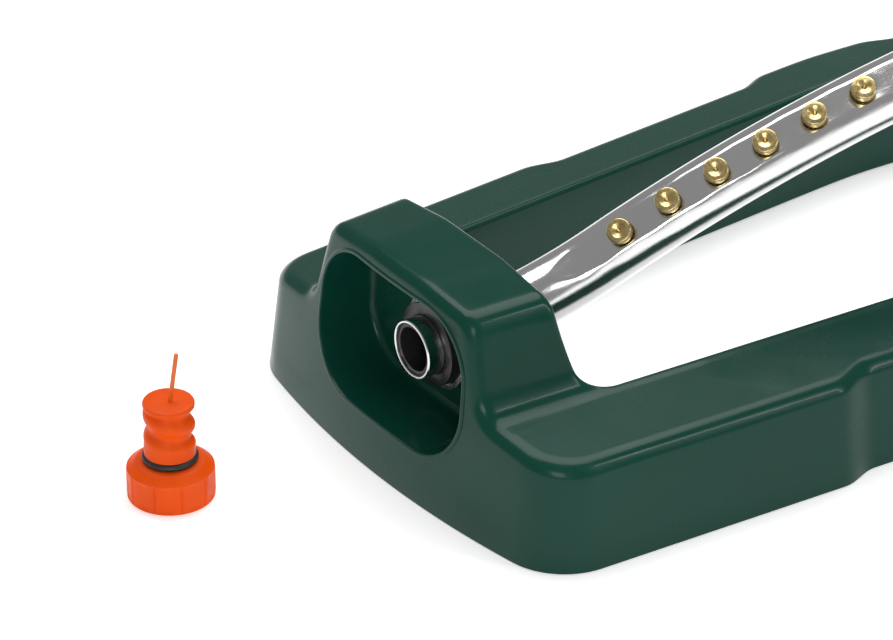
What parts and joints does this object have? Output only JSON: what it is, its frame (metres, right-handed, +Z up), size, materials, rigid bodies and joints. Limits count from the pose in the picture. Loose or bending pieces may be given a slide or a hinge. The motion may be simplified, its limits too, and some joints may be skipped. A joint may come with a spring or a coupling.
{
  "type": "oscillating lawn sprinkler",
  "caption": "Oscillating lawn sprinkler: one-piece plastic frame, arched swinging spray tube with brass nozzles, water motor, hose swivel and a removed clean-out plug.",
  "frame": {"origin": "on the ground under the middle of the spray tube's arch, the middle of the whole footprint with the plug standing beside the frame", "axes": "+X from the clean-out end to the hose end, along the tube's turning axis; +Y across the frame; +Z up"},
  "size_m": [0.628, 0.1954, 0.1219],
  "materials": {
    "green_plastic": "glossy moulded plastic with faint sink and flow marks",
    "black_plastic": "fine moulded texture",
    "grey_plastic": "natural acetal",
    "orange_plastic": "satin moulded plastic",
    "orange_pin": "painted wire",
    "polished_aluminium": "drawn and polished",
    "nozzle_brass": "turned",
    "black_rubber": "smooth",
    "plated_steel": "zinc plated"
  },
  "bodies": {
    "frame": {"base_frame": "green_plastic", "end_recess_cup": "green_plastic", "base_plate": "green_plastic", "base_plate_screws": "plated_steel", "tube_bush": "black_plastic", "bush_clip": "plated_steel", "motor_cover": "black_plastic", "case_gasket": "black_rubber", "motor_case": "black_plastic", "case_screws": "plated_steel", "gear_axle": "plated_steel", "gear_plate": "grey_plastic", "jet_plate": "grey_plastic", "inlet_stem": "black_plastic"},
    "tube": {"spray_tube": "polished_aluminium", "spray_nozzles": "nozzle_brass", "plug_socket": "black_plastic", "drive_adapter": "black_plastic", "shaft_seal": "black_rubber", "output_gear": "grey_plastic"},
    "left_tab": {"range_tab_left": "orange_plastic"},
    "right_tab": {"range_tab_right": "orange_plastic"},
    "trip": {"trip_ring": "orange_plastic"},
    "diverter": {"flow_diverter": "grey_plastic"},
    "reduction": {"reduction_gear": "grey_plastic"},
    "turbine": {"turbine_wheel": "grey_plastic", "turbine_shaft": "plated_steel", "turbine_pinion": "grey_plastic"},
    "swivel": {"hose_nut": "black_plastic", "hose_washer": "black_rubber", "filter_screen": "plated_steel"},
    "plug": {"clean_out_plug": "orange_plastic", "plug_o_ring": "black_rubber", "cleaning_pin": "orange_pin"}
  },
  "joints": [
    {"name": "tube_swing", "type": "hinge", "parent": "frame", "child": "tube", "pos_m": [0, 0, 0.0397], "axis": [1, 0, 0], "range_deg": [-77, 13]},
    {"name": "left_tab_set", "type": "hinge", "parent": "tube", "child": "left_tab", "pos_m": [0, 0, 0.0397], "axis": [1, 0, 0], "range_deg": [-30, 45]},
    {"name": "right_tab_set", "type": "hinge", "parent": "tube", "child": "right_tab", "pos_m": [0, 0, 0.0397], "axis": [1, 0, 0], "range_deg": [-45, 30]},
    {"name": "trip_flip", "type": "hinge", "parent": "frame", "child": "trip", "pos_m": [0, 0, 0.0397], "axis": [1, 0, 0], "range_deg": [-12, 12]},
    {"name": "diverter_flip", "type": "hinge", "parent": "frame", "child": "diverter", "pos_m": [0, 0, 0.0397], "axis": [1, 0, 0], "range_deg": [-12.5, 12.5]},
    {"name": "reduction_spin", "type": "hinge", "parent": "frame", "child": "reduction", "pos_m": [0, 0.0115, 0.0397], "axis": [1, 0, 0], "range_deg": [-47, 278]},
    {"name": "turbine_spin", "type": "hinge", "parent": "frame", "child": "turbine", "pos_m": [0, 0, 0.0397], "axis": [1, 0, 0], "range_deg": [-1000, 170]},
    {"name": "nut_swivel", "type": "hinge", "parent": "frame", "child": "swivel", "pos_m": [0, 0, 0.0397], "axis": [1, 0, 0], "continuous": true},
    {"name": "plug_lift", "type": "slide", "parent": "frame", "child": "plug", "axis": [0, 0, 1], "range_m": [0, 0.12]}
  ],
  "couplings": [
    {"joint": "reduction_spin", "follows": "tube_swing", "ratio": -3.6},
    {"joint": "turbine_spin", "follows": "tube_swing", "ratio": 12.96},
    {"joint": "diverter_flip", "follows": "trip_flip", "ratio": 1}
  ]
}
